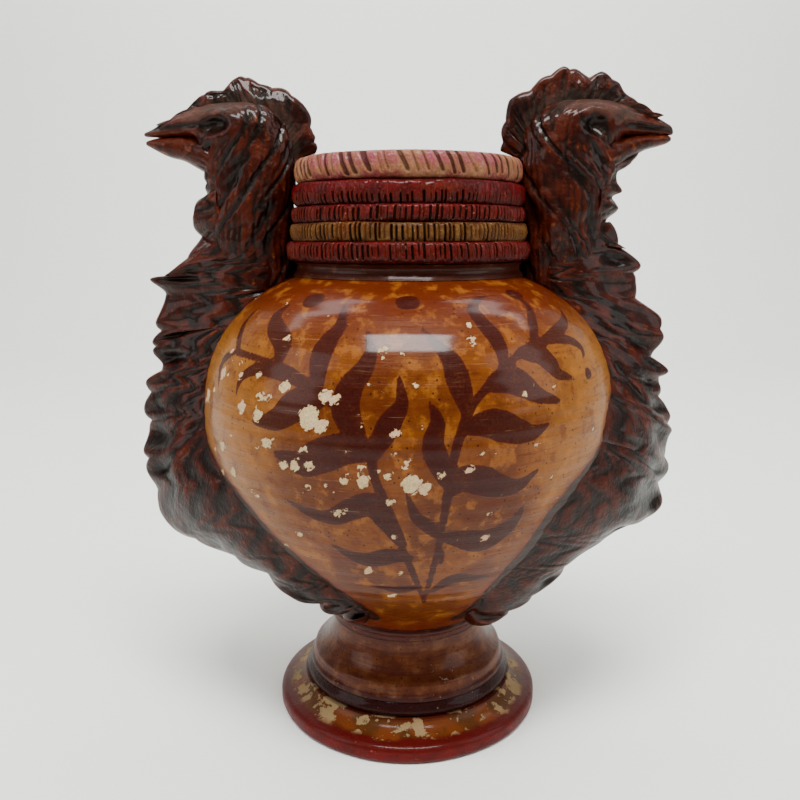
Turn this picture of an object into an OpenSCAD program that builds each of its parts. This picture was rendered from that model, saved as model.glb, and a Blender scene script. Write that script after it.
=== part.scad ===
// Two-handled ceramic amphora. Each handle is a bird: a rolled neck, a head with a crest and a beak,
// a frill under the throat, and a pinched mane that runs down the belly. Millimetres, +Z up, with the
// origin on the vessel's axis at the plane it stands on. +X is the right bird's side, -Y is the front.

/* [Belly] */
// Largest outside radius of the belly
belly_r = 111.5; // [100:0.5:135]
// Height of the widest ring of the belly
belly_z = 169; // [155:1:185]
// Height of the lower curve, from its pole up to the widest ring
belly_low = 126; // [120:1:140]
// Squareness of the lower curve, where 2 is an ellipse and less is closer to a cone
belly_taper = 1.7; // [1.5:0.05:2]
// Height of the upper curve, from the widest ring up to its pole
belly_high = 86; // [75:1:105]
// Squareness of the upper curve, where 2 is an ellipse
shoulder_power = 2.5; // [2:0.1:3]
// Wall at the widest ring
belly_wall = 6; // [4:0.5:9]
// Thickness of the belly's floor
floor_wall = 8; // [6:0.5:12]
// Wall of the shoulder, under the collar
shoulder_wall = 9; // [7:0.5:12]

/* [Foot] */
// Height of the foot, from the floor to the belly's seat
foot_h = 60; // [54:0.5:72]
// Outside radius of the plinth
plinth_r = 75; // [68:0.5:90]
// Height of the plinth's upright edge
plinth_edge_h = 9.5; // [7:0.5:12]
// Height of the whole plinth
plinth_h = 16.5; // [14:0.5:20]
// Radius of the plinth's hollow at the floor
plinth_hollow_r = 63; // [56:0.5:65]
// Outside radius of the step ring
step_r = 59.5; // [58:0.5:63]
// Height of the step ring
step_h = 8; // [6:0.5:10]
// Radius of the hollow under the stem
stem_hollow_r = 49; // [44:0.5:52]
// Radius of the stem's waist
stem_r = 43; // [38:0.5:45]
// Wall of the stem
stem_wall = 7; // [5:0.5:9]
// Radius of the stem's hollow flare
flare_r = 20; // [18:0.5:22]
// Height of the luting band round the top of the stem
band_h = 7.5; // [4:0.5:10]
// How far the luting band stands out of the stem
band_out = 2.6; // [1.5:0.1:4]

/* [Collar] */
// Inside radius of the neck
mouth_r = 47; // [38:0.5:49]
// Wall of the neck
neck_wall_t = 6; // [5:0.5:7]
// Outside radius of the bead at the root of the neck
bead_r = 61; // [60:0.5:64]
// Height of the bead
bead_h = 7.7; // [6:0.1:10]
// Outside radius of the lower coil
coil_lower_r = 65; // [62:0.5:68]
// Height of the lower coil
coil_lower_h = 10.3; // [8:0.1:13]
// Outside radius of the gold coil
coil_gold_r = 63.2; // [61:0.1:66]
// Height of the gold coil
coil_gold_h = 9.3; // [8:0.1:12]
// Outside radius of the second coil
coil_second_r = 62.2; // [60:0.1:66]
// Height of the second coil
coil_second_h = 8.2; // [7:0.1:12]
// Outside radius of the upper coil
coil_upper_r = 61.6; // [60:0.1:66]
// Height of the upper coil
coil_upper_h = 11.5; // [8:0.1:14]
// Outside radius of the rim coil
rim_r = 60.4; // [60:0.1:64]
// Height of the rim coil
rim_h = 13; // [11:0.1:14]

/* [Birds] */
// How far a bird's neck is pressed onto the lower coil
neck_press = 2; // [1:0.5:4]
// Width of a bird's neck, across the vessel
bird_neck_w = 43; // [38:0.5:48]
// Depth of a bird's neck, front to back
bird_neck_d = 36; // [30:0.5:42]
// Distance from the middle of the neck to the tip of the beak
beak_reach = 55; // [48:0.5:62]
// Depth of a head, front to back
head_d = 36; // [30:0.5:42]
// Height of the line between the two halves of a beak, above the rim
mouth_line = 12; // [10:0.5:16]
// Gap between the two halves of the left bird's beak
left_beak_gap = 2.4; // [1:0.1:4]
// Gap between the two halves of the right bird's beak
right_beak_gap = 1; // [0.5:0.1:4]
// Height of the left bird's crest above its skull
left_crest_h = 13; // [8:0.5:18]
// Height of the right bird's crest above its skull
right_crest_h = 15; // [8:0.5:18]
// Thickness of a crest
crest_t = 7; // [5:0.5:10]
// Radius of the pit pressed for an eye
eye_r = 8; // [6:0.5:9]
// Thickness of the frill under a throat
frill_t = 9; // [6:0.5:14]

/* [Manes] */
// How far a mane stands out of the widest ring of the belly
mane_out = 38; // [28:0.5:44]
// Thickness of a mane where it is luted on
mane_root_t = 24; // [16:0.5:30]
// Thickness of a mane at its pinched edge
mane_edge_t = 7; // [4:0.5:10]
// Number of pinches along a mane
pinches = 21; // [12:1:26]
// Depth of each pinch in the edge
pinch_depth = 5; // [2:0.5:7]
// How far each pinch leans to one side
pinch_lean = 2.5; // [0:0.5:4]
// Angle by which the lower end of the left mane turns to the front
left_turn = 66; // [0:1:72]
// Angle by which the lower end of the right mane turns to the front
right_turn = 55; // [0:1:72]

/* [Hidden] */
$fn = 72;

// Colours
ochre = [0.74, 0.45, 0.16];
crimson = [0.52, 0.08, 0.13];
gold = [0.72, 0.5, 0.18];
rose = [0.68, 0.33, 0.27];
red_brown = [0.5, 0.13, 0.1];
tan_brown = [0.52, 0.27, 0.14];
dark_brown = [0.24, 0.09, 0.06];

// Steps of the curves
belly_steps = 16;
neck_steps = 12;
head_steps = 18;
beak_steps = 8;
edge_steps = 3;
steps_per_pinch = 4;
loft_sides = 14;
bed_sides = 180;

// Radii and heights that follow from the sizes above
edge_round = 2.5;
joint_gap = 0.04;
collar_r = mouth_r + neck_wall_t;
stem_lip_r = step_r - 2.5;
step_z = plinth_h;
stem_z = step_z + step_h;
flare_z = foot_h - band_h - 2;
shoulder_z = belly_z + belly_high * pow(1 - pow(bead_r / belly_r, shoulder_power), 1 / shoulder_power);
coil_lower_z = shoulder_z + bead_h;
bird_x = coil_lower_r + bird_neck_w / 2 - neck_press;
coil_gold_z = coil_lower_z + coil_lower_h;
coil_second_z = coil_gold_z + coil_gold_h;
coil_upper_z = coil_second_z + coil_second_h;
rim_z = coil_upper_z + coil_upper_h;
rim_top = rim_z + rim_h;
mouth_line_z = rim_top + mouth_line;

// A bird's neck: height as a share of the collar, then its width and its depth as shares of their
// full sizes, from the shoulder up into the head
neck_stations = [
  [-0.36, 0.04, 0.6, 0.7], [-0.14, 0.02, 1.04, 1.02], [0.14, -0.02, 1.08, 1.06], [0.36, -0.03, 1, 1],
  [0.65, -0.03, 0.98, 0.96], [0.92, 0.03, 0.98, 0.94], [1.1, 0.09, 0.84, 0.8], [1.22, 0.13, 0.6, 0.56]
];

// A head with its upper beak, from the nape to the tip: the distance from the middle of the neck as a
// share of the beak's reach, the lowest and highest points from the mouth line, and a share of the depth
head_stations = [
  [-0.38, -8, 6, 0.3], [-0.29, -17, 13, 0.72], [-0.1, -20, 17, 0.97], [0.11, -20, 18.5, 1],
  [0.29, -19, 19, 0.89], [0.4, -10, 18.5, 0.7], [0.48, 0, 17.5, 0.58], [0.62, 0, 15.5, 0.46],
  [0.78, 0, 12.5, 0.35], [0.91, 0, 9.5, 0.26], [0.98, 0.3, 6.5, 0.17], [1, 1, 4.5, 0.08]
];

// A lower beak, with the same four values as a head
lower_beak_stations = [
  [0.26, -24, -3, 0.7], [0.38, -21, -1, 0.68], [0.5, -14.5, 0, 0.56], [0.61, -9, 0, 0.44],
  [0.7, -7, 0, 0.37], [0.84, -5, 0, 0.28], [0.95, -3.8, 0, 0.18], [0.99, -3, -0.8, 0.09]
];

// A crest: a point on the skull, from the neck's middle and the mouth line, and the way the crest
// rises from it as a share of the crest's height
crest_stations = [
  [33, 14, 0.1, 0.05], [31, 16, 0.1, 0.25], [26, 17, 0, 0.6], [16, 18, 0, 0.9], [9, 18, 0, 0.8],
  [-3, 17, 0, 1.13], [-10, 15, -0.17, 0.97], [-15, 12, -0.5, 0.72], [-19, 8, -0.85, 0.68],
  [-21, 1, -0.85, 0.35], [-22, -5, -0.92, 0.2], [-22, -10, -0.92, 0]
];

// The outer edge of each throat frill, from the neck's middle and the mouth line
left_frill_edge = [
  [29, -14], [25, -20], [23.5, -26], [23.5, -31], [28, -34], [30.5, -42], [31.5, -48], [27, -52], [25, -58]
];
right_frill_edge = [
  [29, -14], [27, -20], [28, -27], [24, -30], [28, -36], [25, -42], [22.5, -47], [24, -52], [25, -58]
];
frill_root = 10;

// A mane from the neck down to the stem: the height of its root as a share of the way from the widest
// ring up to the shoulder (or, below zero, down to the foot), its reach as a share of mane_out, the
// angle of its rise, the share of its turn to the front, and a share of its thickness
mane_stations = [
  [1.157, 0.7, 8, 0, 0.9], [1.015, 1.12, 3, 0, 1.1], [0.835, 1.28, 0, 0, 1.2],
  [0.578, 1.17, 0, 0, 1.1], [0.296, 1.09, 0, 0, 1], [-0.009, 1.12, 0, 0, 1],
  [-0.239, 1.12, -3, 0.12, 1], [-0.394, 0.84, -8, 0.4, 0.95], [-0.55, 0.52, -14, 0.66, 0.9],
  [-0.679, 0.4, -22, 0.82, 0.85], [-0.78, 0.34, -30, 0.92, 0.75], [-0.853, 0.28, -34, 1, 0.6]
];
mane_sink = 4;
mane_middle_out = 0.55;
mane_middle_t = 0.62;

// ---- curves ----

// Place at s on the smooth curve that passes through every station
function curve_at(stations, s) =
  let (last = len(stations) - 1)
  let (i = min(floor(s), last - 1))
  let (t = s - i)
  let (p0 = stations[max(i - 1, 0)], p1 = stations[i], p2 = stations[i + 1])
  let (p3 = stations[min(i + 2, last)])
  0.5 * (2 * p1 + (p2 - p0) * t + (2 * p0 - 5 * p1 + 4 * p2 - p3) * t * t
    + (3 * p1 - p0 - 3 * p2 + p3) * t * t * t);

// The whole curve in n equal steps
function curve(stations, n) = [for (i = [0:n]) curve_at(stations, i * (len(stations) - 1) / n)];

function unit(v) = v / norm(v);

// Flat ring of points round centre c, with half-sizes a along u and b along v
function oval(c, u, a, v, b) =
  [for (j = [0:loft_sides - 1]) let (t = 360 * j / loft_sides) c + u * a * cos(t) + v * b * sin(t)];

// Radius at height z of a belly with the radius r and the curves' heights low and high
function belly_radius(z, r, low, high) =
  z < belly_z
    ? r * pow(max(0, 1 - pow((belly_z - z) / low, belly_taper)), 1 / belly_taper)
    : r * pow(max(0, 1 - pow((z - belly_z) / high, shoulder_power)), 1 / shoulder_power);

// Outline of a belly from the height bottom to the height top
function belly_outline(r, low, high, bottom, top) =
  let (start = asin(pow((belly_z - bottom) / low, belly_taper / 2)), power = 2 / belly_taper)
  concat(
    [
      for (i = [0:belly_steps])
        let (a = start * (1 - i / belly_steps))
          [r * pow(cos(a), power), belly_z - low * pow(sin(a), power)]
    ],
    [
      for (i = [1:belly_steps])
        let (z = belly_z + (top - belly_z) * sin(90 * i / belly_steps))
          [belly_radius(z, r, low, high), z]
    ]
  );

// ---- shapes that pieces are made from ----

// Closed skin over rings that turn anticlockwise as seen from the last ring
module loft(rings) {
  sides = len(rings[0]);
  last = len(rings) - 1;
  skin = [
    for (i = [0:last - 1], j = [0:sides - 1])
      let (k = (j + 1) % sides)
        each [
          [i * sides + j, (i + 1) * sides + j, (i + 1) * sides + k],
          [i * sides + j, (i + 1) * sides + k, i * sides + k]
        ]
  ];
  first_cap = [for (j = [0:sides - 1]) j];
  last_cap = [for (j = [sides - 1:-1:0]) last * sides + j];
  polyhedron(points = [for (ring = rings) each ring], faces = concat([first_cap], skin, [last_cap]));
}

// Ring of rolled clay with a round outer face, from radius inner to radius outer
module coil(inner, outer, z, h) {
  middle = outer - h / 2;
  translate([0, 0, z])
    rotate_extrude()
      intersection() {
        union() {
          if (middle > inner)
            square([middle, h]);
          translate([middle, h / 2])
            circle(d = h);
        }
        translate([inner, 0])
          square([outer - inner, h]);
      }
}

// Outside of the belly without its hollow, made larger all round by grow
module belly_form(grow) {
  outline = belly_outline(belly_r + grow, belly_low + grow, belly_high + grow, foot_h, shoulder_z);
  rotate_extrude()
    polygon(concat([[0, foot_h]], outline, [[0, shoulder_z]]));
}

// Outside of the collar, without its bore
module collar_form() {
  translate([0, 0, shoulder_z])
    cylinder(r = collar_r + 1, h = rim_z + rim_h / 2 - shoulder_z);
  shoulder_bead();
  collar_coil_lower();
  collar_coil_gold();
  collar_coil_second();
  collar_coil_upper();
  rim_coil();
}

// Flared stem, or its hollow when inset is the wall's thickness
module stem_form(inset) {
  rotate_extrude()
    difference() {
      translate([0, stem_z])
        square([stem_lip_r - inset, foot_h - stem_z]);
      translate([stem_r + flare_r, flare_z])
        circle(r = flare_r + inset);
      translate([stem_r - inset, flare_z])
        square([stem_lip_r, foot_h]);
    }
}

// Mirrors a bird made on the right to the side asked for
module on_side(left) {
  mirror([left ? 1 : 0, 0, 0])
    children();
}

// ---- foot ----

module foot_plinth() {
  color(red_brown)
    rotate_extrude()
      difference() {
        union() {
          square([plinth_r - edge_round, plinth_edge_h]);
          translate([0, edge_round])
            square([plinth_r, plinth_edge_h - 2 * edge_round]);
          for (z = [edge_round, plinth_edge_h - edge_round])
            translate([plinth_r - edge_round, z])
              circle(r = edge_round);
          polygon([[0, 0], [plinth_r - 3 * edge_round, plinth_edge_h], [step_r + 1, plinth_h], [0, plinth_h]]);
        }
        polygon([
          [0, -1], [plinth_hollow_r, -1], [plinth_hollow_r, 3],
          [stem_hollow_r, plinth_h], [stem_hollow_r, plinth_h + 1], [0, plinth_h + 1]
        ]);
      }
}

module foot_step_ring() {
  color(crimson)
    coil(stem_hollow_r, step_r, step_z, step_h);
}

module foot_stem() {
  color(tan_brown)
    difference() {
      stem_form(0);
      stem_form(stem_wall);
      translate([0, 0, stem_z - 1])
        cylinder(r = stem_hollow_r - 3, h = 2);
      translate([0, 0, flare_z])
        cylinder(r = stem_r - stem_wall, h = foot_h);
    }
}

module stem_luting_band() {
  color(tan_brown)
    coil(stem_r, stem_r + band_out, foot_h - band_h, band_h);
}

// ---- belly and collar ----

module belly() {
  inner_low = belly_z - foot_h - floor_wall;
  inner_high = belly_high - shoulder_wall;
  hollow = belly_outline(
    belly_r - belly_wall, inner_low, inner_high, belly_z - inner_low, belly_z + inner_high
  );
  color(ochre)
    difference() {
      belly_form(0);
      rotate_extrude()
        polygon(hollow);
      translate([0, 0, belly_z])
        cylinder(r = mouth_r, h = belly_high);
    }
}

module neck_wall() {
  color(tan_brown)
    translate([0, 0, shoulder_z])
      difference() {
        cylinder(r = collar_r, h = rim_z - shoulder_z);
        translate([0, 0, -1])
          cylinder(r = mouth_r, h = rim_z - shoulder_z + 2);
      }
}

module shoulder_bead() {
  color(tan_brown)
    coil(collar_r, bead_r, shoulder_z, bead_h);
}

module collar_coil_lower() {
  color(crimson)
    coil(collar_r, coil_lower_r, coil_lower_z, coil_lower_h);
}

module collar_coil_gold() {
  color(gold)
    coil(collar_r, coil_gold_r, coil_gold_z, coil_gold_h);
}

module collar_coil_second() {
  color(crimson)
    coil(collar_r, coil_second_r, coil_second_z, coil_second_h);
}

module collar_coil_upper() {
  color(crimson)
    coil(collar_r, coil_upper_r, coil_upper_z, coil_upper_h);
}

module rim_coil() {
  color(rose)
    coil(mouth_r, rim_r, rim_z, rim_h);
}

// ---- birds, made on the right ----

module bird_neck_form() {
  collar_h = rim_top - shoulder_z;
  loft([
    for (p = curve(neck_stations, neck_steps))
      oval(
        [bird_x + p[1] * beak_reach, 0, shoulder_z + p[0] * collar_h],
        [1, 0, 0], p[2] * bird_neck_w / 2, [0, 1, 0], p[3] * bird_neck_d / 2
      )
  ]);
}

// Skin through head or beak stations, lowered towards the tip by drop
module beak_form(stations, steps, drop) {
  loft([
    for (p = curve(stations, steps))
      let (low = mouth_line_z + p[1] - drop * p[0], high = mouth_line_z + p[2] - drop * p[0])
        oval(
          [bird_x + p[0] * beak_reach, 0, (low + high) / 2],
          [0, 1, 0], p[3] * head_d / 2, [0, 0, 1], (high - low) / 2
        )
  ]);
}

module bird_head_form() {
  beak_form(head_stations, head_steps, 0);
}

module crest_form(height) {
  roots = curve(crest_stations, edge_steps * len(crest_stations));
  edge = [for (p = roots) [p[0] + p[2] * height, p[1] + p[3] * height]];
  translate([bird_x, crest_t / 2, mouth_line_z])
    rotate([90, 0, 0])
      linear_extrude(crest_t)
        polygon(concat(edge, [[-20, -12], [-8, 0], [10, 6], [28, 6]]));
}

module frill_form(edge) {
  outline = curve(edge, edge_steps * len(edge));
  translate([bird_x, frill_t / 2, mouth_line_z])
    rotate([90, 0, 0])
      linear_extrude(frill_t)
        polygon(concat([[frill_root, -58]], [for (i = [len(outline) - 1:-1:0]) outline[i]], [[frill_root, -12]]));
}

// Root of the mane at a share of the way up or down the belly, as a radius and a height
function mane_root(share) =
  let (z = belly_z + share * (share > 0 ? shoulder_z - belly_z : belly_z - foot_h))
  let (r = belly_radius(z, belly_r, belly_low, belly_high) - mane_sink)
    [z > belly_z ? max(r, bird_x) : r, z];

// Place at radius r and height z, turned to the front by the angle turn
function around(r, z, turn) = [r * cos(turn), -r * sin(turn), z];

// One ring of the mane: p is its station, wave is its place along the pinches in degrees
function mane_ring(p, ahead, full_turn, wave) =
  let (root = mane_root(p[0]), next = mane_root(ahead[0]), turn = full_turn * p[3])
  let (from = around(root[0], root[1], turn), to = around(next[0], next[1], full_turn * ahead[3]))
  let (out = around(cos(p[2]), sin(p[2]), turn))
  let (across = unit(cross(unit(to - from), out)))
  let (reach = p[1] * mane_out - pinch_depth * (1 - cos(wave)) / 2)
  let (root_t = p[4] * mane_root_t / 2, edge_t = mane_edge_t / 2, lean = pinch_lean * sin(wave / 2))
  let (middle = from + out * reach * mane_middle_out, edge = from + out * reach + across * lean)
    [
      from - across * root_t, middle - across * root_t * mane_middle_t, edge - across * edge_t,
      edge + across * edge_t, middle + across * root_t * mane_middle_t, from + across * root_t
    ];

module mane_form(full_turn) {
  n = pinches * steps_per_pinch;
  path = curve(mane_stations, n + 1);
  loft([for (i = [0:n]) mane_ring(path[i], path[i + 1], full_turn, 360 * i / steps_per_pinch)]);
}

module bird_neck() {
  color(dark_brown)
    difference() {
      bird_neck_form();
      belly_form(0);
      collar_form();
    }
}

module bird_head() {
  color(dark_brown)
    difference() {
      bird_head_form();
      bird_neck_form();
      collar_form();
      for (side = [-1, 1])
        translate([bird_x + 0.2 * beak_reach, side * (head_d / 2 + eye_r / 2), mouth_line_z + 4])
          sphere(r = eye_r);
    }
}

module bird_lower_beak(gap) {
  color(dark_brown)
    difference() {
      beak_form(lower_beak_stations, beak_steps, gap);
      bird_head_form();
      bird_neck_form();
    }
}

module bird_crest(height) {
  color(dark_brown)
    difference() {
      crest_form(height);
      bird_head_form();
      bird_neck_form();
      collar_form();
    }
}

module bird_throat_frill(edge, gap, turn) {
  color(dark_brown)
    difference() {
      frill_form(edge);
      bird_neck_form();
      bird_head_form();
      beak_form(lower_beak_stations, beak_steps, gap);
      mane_form(turn);
    }
}

// The mane is cut as one closed mesh, so its bed is made larger than the belly by joint_gap
module bird_mane(turn) {
  color(dark_brown)
    resize([0, 0, 0])
      difference() {
        mane_form(turn);
        belly_form(joint_gap, $fn = bed_sides);
        bird_neck_form();
      }
}

module left_bird_neck() { on_side(true) bird_neck(); }
module left_bird_head() { on_side(true) bird_head(); }
module left_bird_lower_beak() { on_side(true) bird_lower_beak(left_beak_gap); }
module left_bird_crest() { on_side(true) bird_crest(left_crest_h); }
module left_bird_throat_frill() { on_side(true) bird_throat_frill(left_frill_edge, left_beak_gap, left_turn); }
module left_bird_mane() { on_side(true) bird_mane(left_turn); }

module right_bird_neck() { on_side(false) bird_neck(); }
module right_bird_head() { on_side(false) bird_head(); }
module right_bird_lower_beak() { on_side(false) bird_lower_beak(right_beak_gap); }
module right_bird_crest() { on_side(false) bird_crest(right_crest_h); }
module right_bird_throat_frill() { on_side(false) bird_throat_frill(right_frill_edge, right_beak_gap, right_turn); }
module right_bird_mane() { on_side(false) bird_mane(right_turn); }

belly();
foot_plinth();
foot_step_ring();
foot_stem();
stem_luting_band();
neck_wall();
shoulder_bead();
collar_coil_lower();
collar_coil_gold();
collar_coil_second();
collar_coil_upper();
rim_coil();
left_bird_neck();
left_bird_head();
left_bird_lower_beak();
left_bird_crest();
left_bird_throat_frill();
left_bird_mane();
right_bird_neck();
right_bird_head();
right_bird_lower_beak();
right_bird_crest();
right_bird_throat_frill();
right_bird_mane();
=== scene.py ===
# %% [markdown]
# # An amphora with two crested birds for handles
# The vessel is thrown in parts: a foot, a belly and a neck. Rolled coils of clay build the collar, and
# each handle is modelled by hand as a bird whose mane runs down the belly. The measured pieces of the
# frame give the places and the sizes. Each one is replaced here by a sculpted piece in the same place.

# %% Load the measured frame
import math
import random

import bmesh
import bpy
import numpy as np
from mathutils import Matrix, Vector


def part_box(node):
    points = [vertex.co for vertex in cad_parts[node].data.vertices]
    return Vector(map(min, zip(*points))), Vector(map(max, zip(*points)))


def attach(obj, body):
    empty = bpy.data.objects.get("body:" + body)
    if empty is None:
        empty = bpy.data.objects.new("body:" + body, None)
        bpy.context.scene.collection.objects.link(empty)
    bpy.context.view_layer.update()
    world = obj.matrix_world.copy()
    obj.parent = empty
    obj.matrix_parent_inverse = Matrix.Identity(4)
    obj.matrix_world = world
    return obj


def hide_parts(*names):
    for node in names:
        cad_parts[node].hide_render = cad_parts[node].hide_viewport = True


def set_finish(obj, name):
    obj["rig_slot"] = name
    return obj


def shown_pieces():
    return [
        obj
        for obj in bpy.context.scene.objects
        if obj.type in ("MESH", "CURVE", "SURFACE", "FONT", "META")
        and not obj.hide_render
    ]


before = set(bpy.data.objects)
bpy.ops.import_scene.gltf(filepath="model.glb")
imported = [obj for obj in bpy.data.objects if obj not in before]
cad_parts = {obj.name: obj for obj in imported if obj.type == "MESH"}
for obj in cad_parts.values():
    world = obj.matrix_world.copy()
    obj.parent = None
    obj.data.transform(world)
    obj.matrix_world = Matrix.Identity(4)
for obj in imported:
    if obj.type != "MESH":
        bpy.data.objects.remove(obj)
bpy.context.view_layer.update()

MM = 0.001


def low(node):
    """Lowest corner of a measured piece, in mm."""
    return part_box(node)[0] / MM


def high(node):
    """Highest corner of a measured piece, in mm."""
    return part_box(node)[1] / MM


print("pieces in the frame:", len(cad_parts))

# %% [markdown]
# ## Chance that repeats
# Hand-made clay is never even, so most shapes and colours need some chance in them. A rough wheel of
# numbers gives the same chance on every run. Smooth noise is made by blending between its steps, and
# a row of knife cuts by giving every cut its own place and its own strength.

# %% Noise helpers
def dice(cell, seed):
    """One number from 0 to 1 for every whole number in cell."""
    return np.modf(np.abs(np.sin(cell * 12.9898 + seed * 78.233) * 43758.5453))[0]


def wander(x, seed):
    """Smooth noise along x, from -0.5 to 0.5."""
    cell = np.floor(x)
    part = x - cell
    part = part * part * (3 - 2 * part)
    return dice(cell, seed) * (1 - part) + dice(cell + 1, seed) * part - 0.5


def lumps(points, size, seed):
    """Smooth noise in space, from -0.5 to 0.5, with lumps about as wide as size."""
    x, y, z = (points / size + 1000).T
    corner = [np.floor(a) for a in (x, y, z)]
    part = [a - c for a, c in zip((x, y, z), corner)]
    part = [p * p * (3 - 2 * p) for p in part]
    total = np.zeros(len(points))
    for i in (0, 1):
        for j in (0, 1):
            for k in (0, 1):
                share = (part[0] if i else 1 - part[0]) * (part[1] if j else 1 - part[1])
                share = share * (part[2] if k else 1 - part[2])
                cell = (corner[0] + i) + 57 * (corner[1] + j) + 113 * (corner[2] + k)
                total += share * dice(cell, seed)
    return total - 0.5


def cuts(x, seed, width=0.2):
    """A row of cuts, one to each unit of x: 0 on the ridges and up to 1 in a cut."""
    cell = np.floor(x)
    middle = cell + 0.5 + 0.35 * (dice(cell, seed) - 0.5)
    depth = 0.3 + 0.7 * dice(cell, seed + 1)
    return depth * np.exp(-(((x - middle) / width) ** 2))


def rise(x, start, end):
    """0 before start, 1 after end, and a smooth step between them."""
    part = np.clip((x - start) / (end - start), 0, 1)
    return part * part * (3 - 2 * part)


print("noise at three places:", np.round(wander(np.array([0.2, 0.7, 1.4]), 3), 2))

# %% [markdown]
# ## From an outline to a turned piece
# A wheel makes every point of a wall run round one axis. Spinning an outline does the same. The
# outline is first divided evenly, so that the surface has enough points for later marks.

# %% Lathe helpers
def divide(outline, gap):
    """The closed outline with points no further apart than gap."""
    points = []
    for a, b in zip(outline, outline[1:] + outline[:1]):
        steps = max(1, round(math.dist(a, b) / gap))
        points += [(a[0] + (b[0] - a[0]) * i / steps, a[1] + (b[1] - a[1]) * i / steps) for i in range(steps)]
    return points


def place(mesh, name, node, slot):
    """Closes the modelling of one piece and puts it in the scene in place of a measured piece."""
    bmesh.ops.recalc_face_normals(mesh, faces=mesh.faces[:])
    data = bpy.data.meshes.new(name)
    mesh.to_mesh(data)
    mesh.free()
    data.shade_smooth()
    data.set_sharp_from_angle(angle=1.1)
    piece = bpy.data.objects.new(name, data)
    bpy.context.scene.collection.objects.link(piece)
    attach(piece, "root")
    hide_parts(node)
    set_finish(piece, slot)
    print(name, "faces:", len(data.polygons))
    return piece


def points_of(piece):
    """Every point of a piece, in mm."""
    flat = np.zeros(len(piece.data.vertices) * 3)
    piece.data.vertices.foreach_get("co", flat)
    return flat.reshape(-1, 3) / MM


def move_points(piece, points):
    piece.data.vertices.foreach_set("co", (points * MM).ravel())
    piece.data.update()


def mark(piece, name, values):
    """Stores one number on every point, for the glaze to read."""
    layer = piece.data.attributes.get(name) or piece.data.attributes.new(name, "FLOAT", "POINT")
    layer.data.foreach_set("value", np.asarray(values, dtype=np.float32))


def lathe(name, node, slot, outline, steps, closed=True):
    """A piece spun from an outline of radii and heights, which starts and ends on the axis if not closed."""
    mesh = bmesh.new()
    row = [mesh.verts.new((r * MM, 0, z * MM)) for r, z in outline]
    for a, b in zip(row, row[1:] + (row[:1] if closed else [])):
        mesh.edges.new((a, b))
    bmesh.ops.spin(
        mesh, geom=mesh.verts[:] + mesh.edges[:], axis=(0, 0, 1), cent=(0, 0, 0),
        angle=2 * math.pi, steps=steps, use_merge=True,
    )
    bmesh.ops.remove_doubles(mesh, verts=mesh.verts[:], dist=0.001 * MM)
    return place(mesh, name, node, slot)


# %% [markdown]
# ## The belly
# The belly was thrown as a closed round form, widest above its middle, then opened at the top. Its
# lower curve tapers almost like a cone, and its shoulder is squarer. Fingers left faint rings in the clay.

# %% Belly
BELLY_R = high("belly").y
BASE = low("belly").z
SHOULDER = high("belly").z
WIDEST = BASE + 109
LOWER_CURVE = 126
TAPER = 1.7
UPPER_CURVE = 86
SHOULDER_POWER = 2.5
MOUTH_R = 47


def belly_r(z):
    """Outside radius of the belly at the height z."""
    z = np.asarray(z, dtype=float)
    under = np.clip(1 - (np.clip(WIDEST - z, 0, None) / LOWER_CURVE) ** TAPER, 0, 1) ** (1 / TAPER)
    over = np.clip(1 - (np.clip(z - WIDEST, 0, None) / UPPER_CURVE) ** SHOULDER_POWER, 0, 1)
    return BELLY_R * np.where(z < WIDEST, under, over ** (1 / SHOULDER_POWER))


def turn_of(points):
    """Angle round the vessel in degrees: 0 at the front, and 90 on the right."""
    return np.degrees(np.arctan2(points[:, 0], -points[:, 1]))


heights = BASE + (SHOULDER - BASE) * (1 - np.cos(np.linspace(0, math.pi, 70))) / 2
outside = [(float(belly_r(z)), float(z)) for z in heights]
skin = divide(outside, 1.7)
skin = skin[: 1 + max(i for i, p in enumerate(skin) if p[1] > SHOULDER - 0.01)]
inside = [(MOUTH_R, SHOULDER), (MOUTH_R, SHOULDER - 9), (70, 234), (92, 216), (104, 185), (105.5, 165)]
inside += [(98, 135), (82, 107), (60, 86), (38, 74), (18, 69), (0, BASE + 8)]
belly = lathe("belly_glazed", "belly", "ochre_glaze", [(0, BASE)] + skin + inside, 420, closed=False)

points = points_of(belly)
outer = np.hypot(points[:, 0], points[:, 1]) > belly_r(points[:, 2]) - 0.5
swell = 1.0 * lumps(points, 60, 4) + 0.35 * lumps(points, 18, 5)
rings = 0.12 * np.sin(points[:, 2] * 0.9 + 2 * lumps(points, 50, 6)) + 0.15 * wander(points[:, 2] / 2.2, 7)
ends = rise(points[:, 2], BASE, BASE + 12) * rise(-points[:, 2], -SHOULDER, 8 - SHOULDER)
push = (swell + rings) * outer * ends
points[:, :2] *= (1 + push / np.maximum(np.hypot(points[:, 0], points[:, 1]), 20))[:, None]
move_points(belly, points)
print("widest ring in mm:", BELLY_R, "at the height", WIDEST)

# %% [markdown]
# ## Painted branches
# Two leafy branches rise from one root at the front, and the same pair was painted on the back. Each
# leaf is one stroke of a loaded brush, which swells and then trails off to a point. A stroke is given
# by the places it passes: degrees round from the front, and the height in mm. Every point of the
# belly then stores how far it lies inside the paint, which keeps the edges crisp at any distance.

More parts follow.
